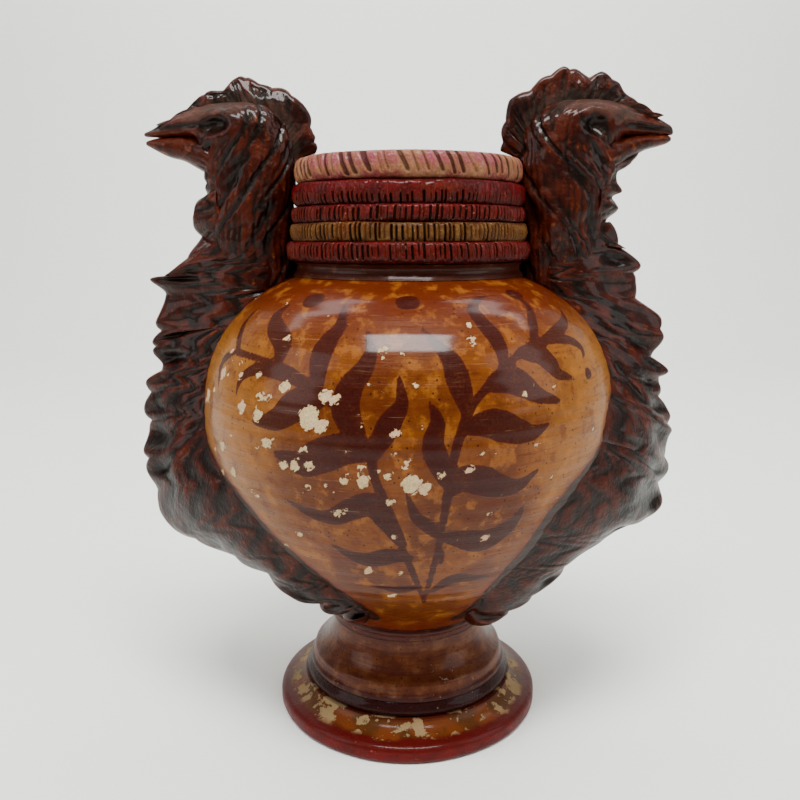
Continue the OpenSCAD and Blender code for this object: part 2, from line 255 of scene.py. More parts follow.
# %% Brush strokes
STEMS = [
    [
        (5, 93), (6, 109), (7, 126), (8, 148), (9, 167), (11, 183), (15, 198), (24, 211), (33, 219),
        (46, 221), (53, 218),
    ],
    [
        (5, 93), (2, 109), (-1, 124), (-5, 149), (-8, 165), (-10, 181), (-18, 196), (-27, 205),
        (-38, 211), (-53, 213),
    ],
]
RIGHT_LEAVES = [
    (4.0, [(7, 101), (13, 109), (19, 108), (26, 107)]),
    (7.4, [(8, 136), (14, 133), (19, 131), (24, 135), (27, 140), (29, 148)]),
    (8.0, [(9, 159), (12, 164), (17, 162), (21, 159), (26, 158), (32, 165)]),
    (8.0, [(13, 187), (18, 188), (22, 186), (26, 183), (30, 182), (35, 185)]),
    (7.6, [(19, 204), (24, 206), (28, 203), (32, 198), (40, 193)]),
    (6.2, [(29, 216), (35, 215), (38, 211), (40, 206), (47, 202)]),
    (3.6, [(37, 219), (42, 221), (50, 219), (55, 214), (52, 209)]),
    (3.6, [(41, 222), (50, 225), (56, 228), (59, 233)]),
    (3.2, [(34, 219), (37, 225), (40, 231), (42, 236), (38, 241)]),
    (4.8, [(23, 210), (24, 218), (23, 224), (21, 230), (20, 235), (24, 239), (30, 240)]),
    (6.2, [(13, 192), (12, 202), (11, 209), (10, 215), (7, 221), (2, 230)]),
    (6.0, [(8, 162), (6, 173), (5, 181), (6, 190), (4, 199)]),
    (3.9, [(7, 136), (4, 142), (1, 148), (-1, 160)]),
    (2.6, [(7, 129), (8, 125), (9, 119)]),
]
LEFT_LEAVES = [
    (3.6, [(3, 105), (-4, 103), (-12, 105)]),
    (6.0, [(0, 124), (-5, 125), (-11, 122), (-16, 124), (-21, 129)]),
    (7.0, [(-2, 132), (-6, 145), (-9, 152), (-14, 149), (-19, 144), (-25, 145), (-33, 151)]),
    (9.2, [(-9, 176), (-15, 177), (-21, 173), (-25, 169), (-29, 170), (-34, 172)]),
    (7.4, [(-10, 176), (-13, 186), (-15, 195), (-14, 204), (-11, 212), (-10, 219), (-12, 228)]),
    (6.0, [(-9, 173), (-6, 184), (-4, 191), (-2, 198), (-3, 210)]),
    (8.2, [(-21, 198), (-27, 195), (-33, 187), (-41, 184)]),
    (4.6, [(-24, 203), (-31, 207), (-40, 208), (-47, 203), (-48, 194)]),
    (6.0, [(-22, 202), (-23, 214), (-22, 222), (-20, 229), (-22, 238)]),
    (6.0, [(-35, 212), (-36, 220), (-42, 226), (-45, 231), (-43, 236)]),
    (2.6, [(-53, 213), (-57, 220), (-60, 227), (-59, 233)]),
    (2.6, [(-53, 214), (-60, 208), (-60, 200), (-58, 192)]),
]
DOTS = [(5.3, -1, 238), (5.5, -35, 238), (4.4, 41, 240), (3.0, 53, 203)]


def curve(stations, s):
    """Smooth curve through rows of stations, where s counts the rows."""
    rows = np.asarray(stations, dtype=float)
    i = np.clip(np.floor(s).astype(int), 0, len(rows) - 2)
    t = (s - i)[:, None]
    p0 = rows[np.clip(i - 1, 0, None)]
    p1 = rows[i]
    p2 = rows[i + 1]
    p3 = rows[np.clip(i + 2, None, len(rows) - 1)]
    bend = (2 * p0 - 5 * p1 + 4 * p2 - p3) * t * t + (3 * p1 - p0 - 3 * p2 + p3) * t ** 3
    return 0.5 * (2 * p1 + (p2 - p0) * t + bend)


def on_belly(turn, z):
    """Points of the belly's surface at angles from the front and at heights."""
    turn = np.radians(turn)
    r = belly_r(z)
    return np.stack([r * np.sin(turn), -r * np.cos(turn), z], axis=1)


def stroke(stations, half, leaf):
    """Centres of a brush stroke, and half its width at each of them."""
    t = np.linspace(0, 1, 9 * len(stations))
    centre = curve(stations, t * (len(stations) - 1))
    swell = (0.35 + 0.65 * np.sin(np.clip(t / 0.42, 0, 1) * math.pi / 2)) * np.clip(1 - t ** 2.1, 0, 1) ** 0.9
    width = half * swell if leaf else half * (0.55 + 0.6 * np.clip(t * 2.5, 0, 1) - 0.35 * t)
    return centre, width


def inside_of(points, centres, widths, found):
    """Raises found to how far each point lies inside discs of these centres and half-widths."""
    reach = widths.max() + 4
    near = np.all((points > centres.min(0) - reach) & (points < centres.max(0) + reach), axis=1)
    gap = np.linalg.norm(points[near][:, None] - centres[None], axis=2)
    found[near] = np.maximum(found[near], (widths[None] - gap).max(axis=1))


points = points_of(belly)
paint = np.full(len(points), -4.0)
for start in (0, 180):
    flip = -1 if start else 1
    strokes = [stroke(stations, 2.3, False) for stations in STEMS]
    strokes += [stroke(stations, half, True) for half, stations in RIGHT_LEAVES + LEFT_LEAVES]
    strokes += [(np.array([[turn, z], [turn + 0.6, z]]), np.array([half, half])) for half, turn, z in DOTS]
    for centre, width in strokes:
        inside_of(points, on_belly(start + flip * centre[:, 0], centre[:, 1]), width, paint)
paint += 0.5 * lumps(points, 3.0, 11) + 0.5 * lumps(points, 9.0, 12)
mark(belly, "paint", paint)
print("share of the belly under leaves:", round(float((paint > 0).mean()), 3))

# %% [markdown]
# ## Lost glaze
# The glaze has flaked off in small patches down to the pale body, most of them on the left of the
# front. Each flake is a place, a height and a half-width, with smaller ones strewn around by chance.

# %% Flakes
FLAKES = [
    (-24, 189, 5.2), (-21, 186, 3.2), (-20, 199, 2.8), (-18, 198, 2.4), (-36, 196, 2.1), (-39, 196, 1.5),
    (-32, 201, 2.6), (-39, 187, 2.5), (-45, 189, 2.8), (-36, 175, 2.8), (-31, 166, 2.0), (-28, 166, 1.8),
    (-24, 168, 1.7), (-15, 163, 2.1), (-11, 163, 2.7), (-68, 188, 3.0), (-55, 167, 2.6), (-51, 155, 2.4),
    (-58, 202, 2.5), (-5, 166, 1.9), (-1, 171, 1.6), (0, 162, 3.8), (3, 160, 2.4), (-18, 146, 1.5),
    (-4, 136, 1.1), (-12, 115, 1.8), (-6, 98, 2.3), (-3, 114, 1.1), (16, 228, 1.6), (16, 222, 1.9),
    (19, 133, 1.6), (19, 145, 1.0), (16, 175, 1.4), (13, 168, 1.2), (150, 190, 3.4), (162, 176, 2.6),
    (205, 206, 3.0), (190, 150, 2.2), (95, 150, 1.8), (240, 205, 2.6), (128, 222, 2.0),
]
chance = random.Random(5)
strewn = []
for _ in range(80):
    strewn.append((chance.gauss(-30, 24), chance.gauss(180, 24), 0.5 + chance.random() ** 3 * 1.4))
for _ in range(70):
    strewn.append((chance.uniform(-180, 180), chance.uniform(80, 240), 0.3 + 0.8 * chance.random() ** 4))
wear = np.full(len(points), -4.0)
for turn, z, half in FLAKES + strewn:
    centre = on_belly(np.array([turn, turn + 0.8]), np.array([z, z + 0.4 * half]))
    inside_of(points, centre, np.array([half, 0.8 * half]), wear)
wear += (1.6 * lumps(points, 3.2, 14) + 1.2 * lumps(points, 6.5, 15)) * (wear > -3)
mark(belly, "wear", wear)
print("flakes:", len(FLAKES) + len(strewn))

# %% [markdown]
# ## The foot
# The foot was thrown upside down as one flaring wall, then turned: a heavy plinth with a rounded edge,
# a step ring, a waisted stem, and a thin band of slip where the belly was luted on.

# %% Foot
def arc(centre, radius, start, end, steps):
    """Points of an arc, with angles in degrees from the direction away from the axis."""
    angles = [math.radians(a) for a in np.linspace(start, end, steps)]
    return [(centre[0] + radius * math.cos(a), centre[1] + radius * math.sin(a)) for a in angles]


def unsettle(piece, amount, seed, size=40):
    """Small uneven swellings left by a hand, gone where the piece stands on the floor."""
    points = points_of(piece)
    r = np.hypot(points[:, 0], points[:, 1])
    push = amount * (lumps(points, size, seed) + 0.4 * lumps(points, size / 4, seed + 1))
    points[:, :2] *= (1 + push / np.maximum(r, 10))[:, None]
    move_points(piece, points)


PLINTH_R = high("foot_plinth").x
PLINTH_TOP = high("foot_plinth").z
STEP_R = high("foot_step_ring").x
STEP_TOP = high("foot_step_ring").z
STEM_WAIST = 43
FOOT_HOLLOW = 49
profile = [(63, 0)] + arc((PLINTH_R - 3, 3), 3, -90, 0, 8) + arc((PLINTH_R - 4, 5.8), 4, 5, 80, 8)
profile += [(66.5, 11.4), (63.5, 12.9), (61.2, 14.9), (60.4, PLINTH_TOP), (FOOT_HOLLOW, PLINTH_TOP), (63, 3)]
plinth = lathe("foot_plinth_glazed", "foot_plinth", "plinth_glaze", divide(profile, 1.4), 320)
unsettle(plinth, 0.7, 21)
profile = [(FOOT_HOLLOW, PLINTH_TOP), (STEP_R - 2.4, PLINTH_TOP)]
profile += arc((STEP_R - 2.9, PLINTH_TOP + 3), 2.9, -80, 40, 8)
profile += arc((STEP_R - 4.4, STEP_TOP - 2.4), 2.4, 20, 90, 6)
profile += [(FOOT_HOLLOW, STEP_TOP)]
step = lathe("foot_step_ring_glazed", "foot_step_ring", "crimson_glaze", divide(profile, 1.2), 320)
unsettle(step, 0.6, 23)
FLARE = 20
BAND_R = high("stem_luting_band").x
BAND_LOW = low("stem_luting_band").z
FLARE_TOP = BAND_LOW - 2
profile = [(46, STEP_TOP), (57, STEP_TOP)] + arc((57 - 1.5, STEP_TOP + 1.4), 1.5, 0, 80, 4)
flare = arc((STEM_WAIST + FLARE, FLARE_TOP), FLARE, 252, 180, 20)
profile += [p for p in flare if p[0] < 55] + [(STEM_WAIST, BASE), (36, BASE), (36, FLARE_TOP)]
profile += arc((STEM_WAIST + FLARE, FLARE_TOP), FLARE + 7, 185, 224, 8)
stem = lathe("foot_stem_glazed", "foot_stem", "tan_glaze", divide(profile, 1.4), 300)
unsettle(stem, 0.8, 25)
profile = [(STEM_WAIST - 0.5, BAND_LOW - 0.6), (STEM_WAIST + 1.4, BAND_LOW)]
profile += arc((BAND_R - 1.8, BASE - 2.6), 1.8, -45, 60, 6) + [(BAND_R - 1.4, BASE), (STEM_WAIST - 0.5, BASE)]
band = lathe("stem_luting_band_glazed", "stem_luting_band", "tan_glaze", divide(profile, 1), 300)
unsettle(band, 0.6, 27)
print("foot height in mm:", BASE)

# %% [markdown]
# ## The collar
# Five rolls of clay were laid round the neck and cut with a knife while still soft, so each cut has
# its own depth, lean and length. The rolls are spun, and their points are then pushed in along the
# cuts. How deep each point sits is stored, and the glaze paints the cuts nearly black as shade.

# %% Coils
def coil(node, slot, inner, pitch, depth, reach, lean, seed, plump=0.6):
    """A roll of clay with knife cuts: pitch in mm, and reach as its lower and upper limit from -1 to 1."""
    radius = high(node).x
    z0 = low(node).z
    z1 = high(node).z
    half = (z1 - z0) / 2
    middle = radius - half * 0.8
    face = []
    for a in np.radians(np.linspace(-90, 90, 19)):
        out = abs(math.cos(a)) ** plump
        up = math.copysign(abs(math.sin(a)) ** 0.85, a)
        face.append((middle + (radius - middle) * out, (z0 + z1) / 2 + half * up))
    piece = lathe(node + "_glazed", node, slot, [(inner, z0)] + face + [(inner, z1)], 1200)
    points = points_of(piece)
    r = np.hypot(points[:, 0], points[:, 1])
    turn = np.radians(turn_of(points)) / (2 * math.pi)
    v = (points[:, 2] - (z0 + z1) / 2) / half
    count = round(2 * math.pi * radius / pitch)
    x = turn * count + lean * v + 0.5 * wander(turn * 40, seed + 3)
    cell = np.floor(x)
    bottom = reach[0] + 0.35 * (dice(cell, seed + 5) - 0.5)
    top = reach[1] + 0.35 * (dice(cell, seed + 6) - 0.5)
    cut = cuts(x, seed, 0.2) * rise(v, bottom - 0.12, bottom + 0.12) * (1 - rise(v, top - 0.12, top + 0.12))
    face = rise(r, middle - 1, middle + 1.5)
    lump = 0.9 * lumps(points, 9, seed + 8) + 0.8 * lumps(points, 2.6, seed + 9)
    lump += 0.8 * lumps(points, 40, seed + 10)
    burr = 0.35 * cuts(x + 0.32, seed, 0.12) * (cut < 0.3)
    push = (lump + burr - depth * cut) * face
    points[:, :2] *= (1 + push / r)[:, None]
    points[:, 2] += 0.7 * lumps(points, 30, seed + 11) * face
    move_points(piece, points)
    mark(piece, "cut", cut * face)
    mark(piece, "level", v)
    print(node, "cuts:", count)
    return piece


COLLAR_R = high("neck_wall").x
coil("collar_coil_lower", "crimson_glaze", COLLAR_R, 2.7, 1.9, (-0.55, 0.75), 0.15, 31)
coil("collar_coil_gold", "gold_glaze", COLLAR_R, 2.6, 2.2, (-0.85, 0.8), 0.05, 43)
coil("collar_coil_second", "crimson_glaze", COLLAR_R, 2.9, 1.5, (-0.85, 0.7), -0.1, 55)
coil("collar_coil_upper", "crimson_glaze", COLLAR_R, 2.7, 1.9, (-0.95, -0.05), 0.1, 67)
coil("rim_coil", "rose_glaze", MOUTH_R, 6.0, 1.5, (-0.6, 1.3), 0.45, 79, 0.75)
NECK_TOP = high("neck_wall").z
profile = [(MOUTH_R, SHOULDER), (COLLAR_R, SHOULDER), (COLLAR_R, NECK_TOP), (MOUTH_R, NECK_TOP)]
lathe("neck_wall_glazed", "neck_wall", "tan_glaze", divide(profile, 1.5), 240)
BEAD_R = high("shoulder_bead").x
BEAD_TOP = high("shoulder_bead").z
profile = [(COLLAR_R, SHOULDER), (BEAD_R + 1.0, SHOULDER), (BEAD_R + 0.3, SHOULDER + 1.2)]
profile += [(BEAD_R - 1.2, SHOULDER + 3.4), (BEAD_R - 1.0, SHOULDER + 5.6), (BEAD_R + 0.4, SHOULDER + 7.2)]
profile += [(BEAD_R, BEAD_TOP), (COLLAR_R, BEAD_TOP)]
bead = lathe("shoulder_bead_glazed", "shoulder_bead", "tan_glaze", divide(profile, 0.9), 360)
unsettle(bead, 0.9, 91, 30)
print("collar from", round(SHOULDER, 1), "to", round(high("rim_coil").z, 1), "mm")

# %% [markdown]
# ## Soft clay by hand
# The birds were squeezed and pulled, not turned, so they start as a flat grid of points instead. The
# grid is rolled into a tube for a neck, a head or a beak, and folded double for a crest, a frill or a
# mane. Feather lines are grooves along the sheet, and each point stores how deep it lies in them.

# %% Hand-building helpers
def sheet(name, node, along, around, shape):
    """A grid whose points shape() moves into place: it returns the places and the facts to store."""
    mesh = bmesh.new()
    bmesh.ops.create_grid(mesh, x_segments=along, y_segments=around, size=0.5)
    flat = np.array([vert.co[:2] for vert in mesh.verts]) + 0.5
    places, facts = shape(flat[:, 0], flat[:, 1])
    places = (places * MM).tolist()
    facts = {key: values.tolist() for key, values in facts.items()}
    layers = {key: mesh.verts.layers.float.new(key) for key in facts}
    for i, vert in enumerate(mesh.verts):
        vert.co = places[i]
        for key, layer in layers.items():
            vert[layer] = facts[key][i]
    bmesh.ops.remove_doubles(mesh, verts=mesh.verts[:], dist=0.002 * MM)
    rim = [edge for edge in mesh.edges if edge.is_boundary]
    bmesh.ops.holes_fill(mesh, edges=rim, sides=0)
    return place(mesh, name, node, "bird_glaze")


def tube(stations, side, start, end, carve):
    """Shape of a tube: each station has its inner x and z, its outer x and z, half its depth and a ridge."""
    def shape(u, t):
        s = start + (end - start) * u
        row = curve(stations, s)
        angle = 2 * math.pi * t
        c = np.cos(angle)
        n = np.sin(angle)
        middle = (row[:, 0:2] + row[:, 2:4]) / 2
        half = (row[:, 2:4] - row[:, 0:2]) / 2
        size = np.maximum(np.linalg.norm(half, axis=1), 0.1)
        depth = row[:, 4] * (1 - row[:, 5] * (1 - c) / 2)
        flat = np.stack([middle[:, 0] + half[:, 0] * c, depth * n, middle[:, 1] + half[:, 1] * c], axis=1)
        push, cut, dust_and_sheen = carve(s, t, flat)
        shrink = np.clip(1 + push / np.minimum(size, np.maximum(row[:, 4], 0.5)), 0.3, 1.6)
        x = middle[:, 0] + half[:, 0] * c * shrink
        z = middle[:, 1] + half[:, 1] * c * shrink
        y = depth * n * shrink
        return np.stack([side * x, y, z], axis=1), {"cut": cut, "dust_and_sheen": dust_and_sheen}
    return shape


def unit(rows):
    """Every row with its direction kept and its length made 1."""
    return rows / np.maximum(np.linalg.norm(rows, axis=1), 1e-6)[:, None]


def belly_normal(points):
    """Outward direction of the belly's surface near each point, level above the widest ring."""
    z = np.minimum(points[:, 2], SHOULDER - 30)
    slope = (belly_r(z + 1) - belly_r(z - 1)) / 2
    r = np.hypot(points[:, 0], points[:, 1])
    return unit(np.stack([points[:, 0] / r, points[:, 1] / r, -np.maximum(slope, 0)], axis=1))


def grooves(s, v, travel, face, lines, seed):
    """Broad and narrow feather lines of a sheet, which fade at its root and near its edge."""
    deep = cuts(travel * lines + 1.3 * wander(v * 3 + s * 2, seed) + 0.2 * face, seed + 1, 0.24)
    fine = cuts(travel * lines * 2.7 + 1.2 * wander(v * 4 + s * 5, seed + 2), seed + 3, 0.22)
    fade = rise(v, 0.0, 0.15) * (1 - 0.7 * rise(v, 0.55, 0.95))
    deep = deep * (0.55 + 0.9 * (wander(s * 1.7 + v * 2, seed + 4) + 0.5)) * fade
    fine = fine * fade * (0.3 + (wander(s * 3.1 + v * 5, seed + 5) + 0.5))
    return deep, fine


# Share of a sheet's width, at its root, that only closes it
ROOT_CAP = 0.06


def fin(
    stations, side, lines, ruffle, seed, dust_and_sheen_root=0.0, dents=0.0, drop=0.0, scallop=1.5, luted=False,
):
    """Shape of a folded sheet. A station is the place of its root and of its edge, half its thickness
    at both, and how round its root is. The root of a luted sheet is spread along the belly."""
    def shape(u, t):
        last = len(stations) - 1
        s = u * last
        row = curve(stations, s)
        ahead = curve(stations, np.clip(s + 0.15, 0, last)) - curve(stations, np.clip(s - 0.15, 0, last))
        root = row[:, 0:3]
        out = row[:, 3:6] - root
        length = np.linalg.norm(out, axis=1)
        fold = 2 * t
        q = 1 - np.abs(fold - 1)
        face = np.where(fold < 1, 1.0, -1.0)
        v = np.clip((q - ROOT_CAP) / (1 - ROOT_CAP), 0, 1)
        across = unit(np.cross(ahead[:, 0:3] + ahead[:, 3:6], out))
        if luted:
            along_belly = unit(np.cross(ahead[:, 0:3], belly_normal(root)))
            across = unit(along_belly * (1 - v)[:, None] ** 1.5 + across * v[:, None])
        travel = s - drop * v ** 0.6
        deep, fine = grooves(s, v, travel, face, lines, seed)
        pinch = 0.62 * s + 0.7 * wander(s * 0.6, seed + 9) + 40.5
        through = np.modf(pinch)[0]
        thumb = np.exp(-((through - 0.5) / 0.24) ** 2 - ((v - 0.74) / 0.17) ** 2)
        thumb *= 0.4 + dice(np.floor(pinch), seed)
        lobe = 1 - np.abs(2 * through - 1) ** 2
        lip = rise(v, 0, 0.6) * np.sqrt(np.clip(1 - v ** 10, 0, 1))
        half = row[:, 6] * (1 - v) ** (1.15 if luted else 0.85) + row[:, 7] * lip
        thick = half * np.sqrt(1 - (1 - np.clip(q / row[:, 8], 0, 1)) ** 2)
        mound = lumps(np.stack([length * v, travel * 9, face * 30], axis=1), 12, seed + 6)
        carved = 2.4 * mound - 0.8 * deep - 0.15 * fine - dents * thumb
        thick = np.maximum(thick + carved * np.minimum(1, half / 4), 0.25 * thick)
        bend = ruffle * v ** 2 * (wander(s * 0.66, seed + 7) * 1.8 + 0.15 * wander(s * 1.9, seed + 8))
        edge = v ** 3 * (scallop * (lobe - 0.7) + 0.4 * wander(s * 2.6, seed + 9))
        reach = v + edge / np.maximum(length, 5)
        places = root + out * reach[:, None] + across * (face * thick + bend)[:, None]
        places[:, 0] *= side
        cut = np.clip(deep + 0.6 * fine + 0.2 * dents * thumb, 0, 1)
        # The root of a crest is greyed partly by old dust and partly by a painted sheen of the light from
        # above
        return places, {"cut": cut, "dust_and_sheen": dust_and_sheen_root * (1 - rise(v, 0.25, 0.75))}
    return shape


def feathers(s, t, count, seed, slope=0.0):
    """Long lines round a tube that wander, start and stop, as deep as 1."""
    x = t * count + slope * s + 0.9 * wander(s * 1.1 + 9 * t, seed) + 0.4 * wander(s * 3.1 + 21 * t, seed + 1)
    keep = 0.35 + 1.1 * np.clip(wander(s * 0.9 + np.floor(x) * 3.7, seed + 2) + 0.5, 0, 1)
    return cuts(x, seed + 3, 0.2) * keep


print("helpers for clay sheets are ready")

# %% [markdown]
# ## Necks and heads
# One bent tube makes a neck and its head, so the throat flows into the cheek. It is cut in two where
# the head was luted on. The eye is a pit pressed by a round tool, with a slot running on along the
# beak, and the feather lines start behind the eye and run down the neck.

# %% Necks, heads and lower beaks
RIGHT_NECK = [
    (57, 230, 100, 232, 15, 0), (58.5, 248, 101, 250, 15.5, 0), (59.5, 265, 104, 267, 17, 0),
    (58.5, 282, 106, 280, 18, 0), (58, 297, 108, 292, 17.5, 0), (58, 310, 110, 301, 17, 0),
    (60.5, 322, 110, 307, 17, 0.1), (67, 331.5, 109, 312, 17.5, 0.15), (79, 336.5, 111, 316, 18, 0.2),
    (93, 337.5, 113, 318.6, 16.5, 0.3), (106, 336.8, 115.5, 318.9, 13, 0.4),
    (114.5, 335, 119, 319, 10.5, 0.45), (121, 332.6, 124, 319, 8.5, 0.5),
    (128, 329.6, 130, 319, 6.8, 0.5), (134, 326.6, 135, 319.2, 5, 0.5),
    (137.8, 324.2, 138.4, 319.6, 3.1, 0.4), (139.2, 322.4, 139.3, 320.4, 0.9, 0.2),
]
LEFT_NECK = [
    (58, 230, 100, 232, 15, 0), (59.5, 248, 101, 250, 15.5, 0), (60.5, 265, 104, 266, 17, 0),
    (61, 280, 105, 278, 18, 0), (60.5, 294, 105, 289, 17.5, 0), (60, 308, 107, 298, 17, 0),
    (61, 321, 109, 304.5, 17, 0.1), (66, 330.5, 109.5, 310, 17.5, 0.15), (77, 335.5, 110, 314, 17.5, 0.2),
    (91, 336, 112, 317.5, 16, 0.35), (104, 335, 114.5, 318, 12.5, 0.45),
    (113, 332.4, 118.5, 318.2, 10, 0.5), (120.5, 329.4, 124, 318.2, 8, 0.55),
    (127.5, 326.2, 130, 318.2, 6.4, 0.55), (133.5, 323.4, 135, 318.3, 4.6, 0.5),
    (137.6, 321.6, 138.4, 318.6, 2.8, 0.4), (139.2, 320.6, 139.3, 319.2, 0.9, 0.2),
]
RIGHT_JAW = [
    (97, 314, 97, 296, 12.5, 0), (104, 318.6, 104, 299, 12, 0), (111, 318.9, 111, 303.6, 10, 0),
    (118, 319.6, 118, 308.6, 8, 0), (124, 319.8, 124, 311.6, 6.6, 0), (130, 319.8, 130, 313.3, 5, 0),
    (135.5, 319.6, 135.5, 315, 3.3, 0), (138.2, 318.4, 138.2, 316.6, 1, 0),
]
LEFT_JAW = [
    (97, 313, 97, 294, 12.5, 0), (104, 317.8, 104, 297.5, 12, 0), (111, 318, 111, 302, 10, 0),
    (118, 318.6, 118, 305.6, 8, 0), (125, 318.6, 125, 308, 6.6, 0), (131, 318.2, 131, 310.4, 5, 0),
    (136, 317, 136, 313, 3.2, 0), (138.4, 316.2, 138.4, 314.4, 1, 0),
]
HEAD_START = 5.5


def bump_at(flat, x, z, wide, tall, tilt=0.0):
    """1 at a place on the side of a head, fading to 0 at the edge of an oval."""
    dx = flat[:, 0] - x
    dz = flat[:, 2] - z - tilt * dx
    return np.exp(-((dx / wide) ** 2 + (dz / tall) ** 2) ** 1.5)


def carve_bird(eye, slot_from, seed):
    """Cuts of one bird: lines on the neck and nape, an eye, a brow and a slot along the beak."""
    def carve(s, t, flat):
        nape = (1 - rise(s, 7.2, 9.6)) * (1 - 0.8 * bump_at(flat, eye[0], eye[1], 11, 9))
        deep = feathers(s, t, 13, seed, 0.9) * nape
        fine = feathers(s, t, 43, seed + 5, 0.8) * nape
        mound = lumps(flat, 13, seed + 6) * (1 - 0.6 * rise(s, 8, 10)) + 0.35 * lumps(flat, 4.5, seed + 7)
        sides = rise(np.abs(flat[:, 1]), 2, 6) if eye[2] else 1
        pit = bump_at(flat, eye[0], eye[1], eye[2], eye[3], eye[4]) * sides
        ring = bump_at(flat, eye[0], eye[1], eye[2] * 1.7, eye[3] * 1.75, eye[4]) * sides - pit
        along = rise(flat[:, 0], slot_from, slot_from + 7)
        slot = along * np.exp(-(((flat[:, 2] - 323.3 + 0.04 * (flat[:, 0] - 110)) / 1.5) ** 2))
        lip = along * np.exp(-(((flat[:, 2] - 326.6 + 0.1 * (flat[:, 0] - 110)) / 1.6) ** 2))
        brow = bump_at(flat, eye[0] + 9, eye[1] + 8, 15, 3, -0.25)
        push = 2.6 * mound - 1.3 * deep - 0.45 * fine
        push += 1.7 * ring - 5.0 * pit - 1.3 * slot + 0.5 * lip + 1.3 * brow
        cut = np.clip(deep + 0.5 * fine + 1.1 * pit + 0.9 * slot, 0, 1)
        # Grey on the top of the head: partly old dust, partly a painted sheen of the light from above
        dust_and_sheen = rise(flat[:, 2] + 0.25 * flat[:, 0], 347, 357) * (1 - 0.6 * rise(flat[:, 0], 112, 124))
        return push * (0.35 + 0.65 * rise(-flat[:, 0], -139, -118)), cut, dust_and_sheen
    return carve


def carve_jaw(seed):
    def carve(s, t, flat):
        lines = feathers(s, t, 15, seed) * (1 - rise(s, 0.8, 2.4))
        mound = lumps(flat, 8, seed + 4) * (1 - 0.7 * rise(s, 3, 6))
        return 1.2 * mound - 1.1 * lines, lines, np.zeros(len(s))
    return carve


BIRDS = [
    ("left", -1, LEFT_NECK, LEFT_JAW, (99.5, 322.6, 7.6, 4.2, -0.1), 104, 111),
    ("right", 1, RIGHT_NECK, RIGHT_JAW, (95.5, 323.2, 6.6, 5.2, -0.12), 108, 211),
]
for name, side, neck_rows, jaw_rows, eye, slot_from, seed in BIRDS:
    carve = carve_bird(eye, slot_from, seed)
    shape = tube(neck_rows, side, 0, HEAD_START, carve)
    sheet(name + "_bird_neck_glazed", name + "_bird_neck", 130, 170, shape)
    shape = tube(neck_rows, side, HEAD_START, len(neck_rows) - 1, carve)
    sheet(name + "_bird_head_glazed", name + "_bird_head", 170, 170, shape)
    shape = tube(jaw_rows, side, 0, len(jaw_rows) - 1, carve_jaw(seed + 30))
    sheet(name + "_bird_jaw_glazed", name + "_bird_lower_beak", 80, 80, shape)

# %% [markdown]
# ## Crests, frills and manes
# A crest is a fan of clay pressed thin and fluted by the fingertips. A mane is a thick ribbon luted to
# the belly, with its free edge pinched between finger and thumb, so each lobe leans its own way. Low
# down it turns to the front, and it narrows until it ends above the foot.

# %% Crests and frills
def upright(rows, root_half, edge_half):
    """Stations of a fin that stands in the plane of the two birds."""
    last = len(rows) - 1
    made = []
    for i, (rx, rz, ex, ez) in enumerate(rows):
        ends = 0.45 + 0.55 * math.sin(math.pi * min(max(i / last, 0.0), 1.0))
        made.append((rx, 0, rz, ex, 0, ez, root_half * ends, edge_half, 0.1))
    return made


RIGHT_CREST = [
    (127, 327, 133, 329), (122, 329, 125, 333), (116, 331, 119.5, 336.8), (110, 332, 112.5, 341),
    (104, 332.5, 108.5, 346.4), (98, 333, 101, 350.8), (93, 333, 94, 349), (87, 333, 86.5, 352),
    (80, 332, 80, 353.2), (74, 330, 71, 348.6), (69, 327, 62, 342.3), (66, 323, 53.5, 337.5),
    (65, 319, 51, 330), (65, 315, 49.5, 323), (65, 310, 48.8, 317), (66, 305, 49, 311.5),
]
LEFT_CREST = [
    (128, 323.5, 133, 324.5), (122, 326, 125, 328), (116, 328.5, 118.5, 332), (110, 330, 112, 336.5),
    (104, 331.5, 105.5, 341), (98, 332, 97.5, 342), (93, 332, 91, 347.2), (87, 332, 84.6, 349.4),
    (80, 331, 78, 345.3), (74, 329, 70, 344), (69, 326, 62.5, 341.5), (66, 322, 55.5, 335.5),
    (65, 317, 51.5, 328), (65, 312, 50.5, 321), (66, 307, 48.6, 316), (67, 303, 48.6, 310.5),
]
RIGHT_FRILL = [
    (104, 309, 121.5, 310.5), (103, 305, 118, 305), (102, 301, 111.5, 300.5), (101, 297, 111, 295.5),
    (100, 293, 113.5, 290.5), (100, 289, 108.5, 287.5), (100, 285, 112.8, 282), (99, 280, 107.5, 276),
    (98, 275, 105.5, 271), (97, 270, 108.5, 266.5), (97, 264, 118.5, 260.5),
]
LEFT_FRILL = [
    (103, 306, 108, 301), (102, 302, 106, 297), (101, 298, 108, 292.5), (100, 294, 108.5, 288.5),
    (100, 290, 113, 285.5), (100, 286, 115, 280), (99, 281, 116.5, 273), (98, 276, 112.5, 267.5),
    (97, 271, 109.6, 264.5), (97, 266, 111, 260.5), (97, 260, 119, 256),
]
for name, side, crest_rows, frill_rows, seed in (
    ("left", -1, LEFT_CREST, LEFT_FRILL, 311), ("right", 1, RIGHT_CREST, RIGHT_FRILL, 411),
):
    shape = fin(upright(crest_rows, 6.0, 2.2), side, 0.5, 2.6, seed, dust_and_sheen_root=1.0, dents=0.7, scallop=1.4)
    sheet(name + "_bird_crest_glazed", name + "_bird_crest", 200, 110, shape)
    shape = fin(upright(frill_rows, 13, 2.0), side, 0.4, 3.0, seed + 20, dents=1.0, drop=1.5, scallop=0.4)
    sheet(name + "_bird_frill_glazed", name + "_bird_throat_frill", 110, 90, shape)

